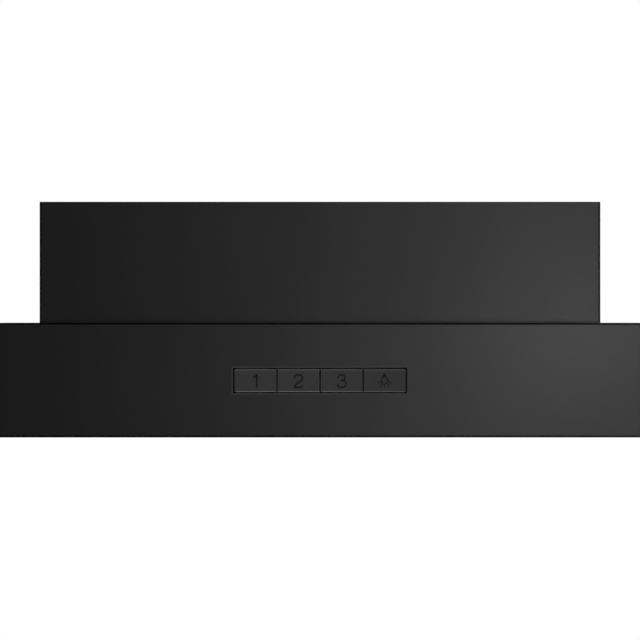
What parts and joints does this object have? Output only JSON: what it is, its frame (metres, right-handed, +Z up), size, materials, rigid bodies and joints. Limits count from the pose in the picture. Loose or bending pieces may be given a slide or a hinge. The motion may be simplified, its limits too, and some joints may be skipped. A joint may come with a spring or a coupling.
{
  "type": "range hood",
  "caption": "Box-shaped range hood: a wide casing with push keys, filters and lamps under a narrower body with a round duct outlet on top.",
  "frame": {"origin": "centre of the four hanging bolts, on the upper face of the top plate", "axes": "+X to the right along the front, +Y towards the back, +Z up out of the duct outlet; the keys face -Y"},
  "size_m": [0.598, 0.3022, 0.2192],
  "materials": {
    "black_coat": "fine satin black powder coat on steel sheet",
    "galvanised": "galvanised sheet",
    "black_plastic": "moulded black plastic, finely grained",
    "grey_plastic": "moulded grey plastic",
    "key_plastic": "satin black key caps with printed marks",
    "slider_plastic": "satin black plastic",
    "filter_aluminium": "rolled aluminium frame",
    "filter_mesh": "layered expanded aluminium mesh",
    "motor_metal": "cast end bells on a steel stack",
    "impeller_plastic": "dark grey moulded wheel",
    "steel": "bright steel",
    "black_screws": "blackened steel screws",
    "bush_rubber": "soft rubber",
    "board": "green circuit board",
    "component_black": "black moulded component",
    "capacitor_can": "drawn can",
    "terminal_plastic": "pale moulded terminal",
    "lead_sheath": "black cable sheath",
    "lamp_trim": "satin metal lamp ring",
    "lamp_diffuser": "opal diffuser",
    "heatsink": "turned aluminium"
  },
  "bodies": {
    "housing": {"blower_screws": "steel", "body_back": "black_coat", "body_screws": "black_screws", "body_wrap": "black_coat", "cable_gland": "black_plastic", "casing_deck": "black_coat", "casing_screws": "black_screws", "control_board": "board", "electronics_box": "grey_plastic", "electronics_cover": "grey_plastic", "flap_pin": "steel", "front_panel": "black_coat", "front_rail": "black_coat", "hanger_brackets": "galvanised", "inlet_guard": "black_plastic", "key_bezel": "black_plastic", "key_carrier": "grey_plastic", "lamp_heatsinks": "heatsink", "lamp_lens_left": "lamp_diffuser", "lamp_lens_right": "lamp_diffuser", "lamp_ring_left": "lamp_trim", "lamp_ring_right": "lamp_trim", "lead_control": "lead_sheath", "lead_lamps": "lead_sheath", "lead_motor": "lead_sheath", "motor_body": "motor_metal", "motor_bushes": "bush_rubber", "motor_spider": "galvanised", "outlet_gasket": "bush_rubber", "outlet_socket": "black_plastic", "panel_brackets": "galvanised", "power_board": "board", "rear_rail": "black_coat", "run_capacitor": "capacitor_can", "scroll_left": "galvanised", "scroll_right": "galvanised", "side_skirt_left": "black_coat", "side_skirt_right": "black_coat", "tact_switches": "component_black", "terminal_block": "terminal_plastic", "top_plate": "black_coat", "underside_plate": "black_coat"},
    "impeller": {"impeller": "impeller_plastic", "motor_shaft": "steel"},
    "flap_front": {"flap_front": "black_plastic"},
    "flap_rear": {"flap_rear": "black_plastic"},
    "key_speed_1": {"key_speed_1": "key_plastic"},
    "key_speed_2": {"key_speed_2": "key_plastic"},
    "key_speed_3": {"key_speed_3": "key_plastic"},
    "key_light": {"key_light": "key_plastic"},
    "filter_left": {"filter_frame_left": "filter_aluminium", "filter_mesh_left": "filter_mesh", "latch_housing_left": "black_plastic", "latch_spring_left": "steel"},
    "filter_right": {"filter_frame_right": "filter_aluminium", "filter_mesh_right": "filter_mesh", "latch_housing_right": "black_plastic", "latch_spring_right": "steel"},
    "latch_left": {"latch_slider_left": "slider_plastic"},
    "latch_right": {"latch_slider_right": "slider_plastic"}
  },
  "joints": [
    {"name": "impeller_spin", "type": "hinge", "parent": "housing", "child": "impeller", "pos_m": [0, -0.02832, -0.10361], "axis": [1, 0, 0], "continuous": true},
    {"name": "flap_front_swing", "type": "hinge", "parent": "housing", "child": "flap_front", "pos_m": [0, 0, -0.025], "axis": [-1, 0, 0], "range_deg": [0, 80]},
    {"name": "flap_rear_swing", "type": "hinge", "parent": "housing", "child": "flap_rear", "pos_m": [0, 0, -0.025], "axis": [1, 0, 0], "range_deg": [0, 80]},
    {"name": "speed_1_press", "type": "slide", "parent": "housing", "child": "key_speed_1", "axis": [0, 1, 0], "range_m": [0, 0.0015], "stiffness_N_per_m": 600, "springref_m": -0.0005},
    {"name": "speed_2_press", "type": "slide", "parent": "housing", "child": "key_speed_2", "axis": [0, 1, 0], "range_m": [0, 0.0015], "stiffness_N_per_m": 600, "springref_m": -0.0005},
    {"name": "speed_3_press", "type": "slide", "parent": "housing", "child": "key_speed_3", "axis": [0, 1, 0], "range_m": [0, 0.0015], "stiffness_N_per_m": 600, "springref_m": -0.0005},
    {"name": "light_press", "type": "slide", "parent": "housing", "child": "key_light", "axis": [0, 1, 0], "range_m": [0, 0.0015], "stiffness_N_per_m": 600, "springref_m": -0.0005},
    {"name": "filter_left_swing", "type": "hinge", "parent": "housing", "child": "filter_left", "pos_m": [-0.141, 0.1167, -0.204], "axis": [1, 0, 0], "range_deg": [0, 70]},
    {"name": "latch_left_slide", "type": "slide", "parent": "filter_left", "child": "latch_left", "axis": [0, 1, 0], "range_m": [0, 0.006], "stiffness_N_per_m": 400, "springref_m": -0.002, "deforming": ["latch_spring_left"]},
    {"name": "filter_right_swing", "type": "hinge", "parent": "housing", "child": "filter_right", "pos_m": [0.141, 0.1167, -0.204], "axis": [1, 0, 0], "range_deg": [0, 70]},
    {"name": "latch_right_slide", "type": "slide", "parent": "filter_right", "child": "latch_right", "axis": [0, 1, 0], "range_m": [0, 0.006], "stiffness_N_per_m": 400, "springref_m": -0.002, "deforming": ["latch_spring_right"]}
  ]
}
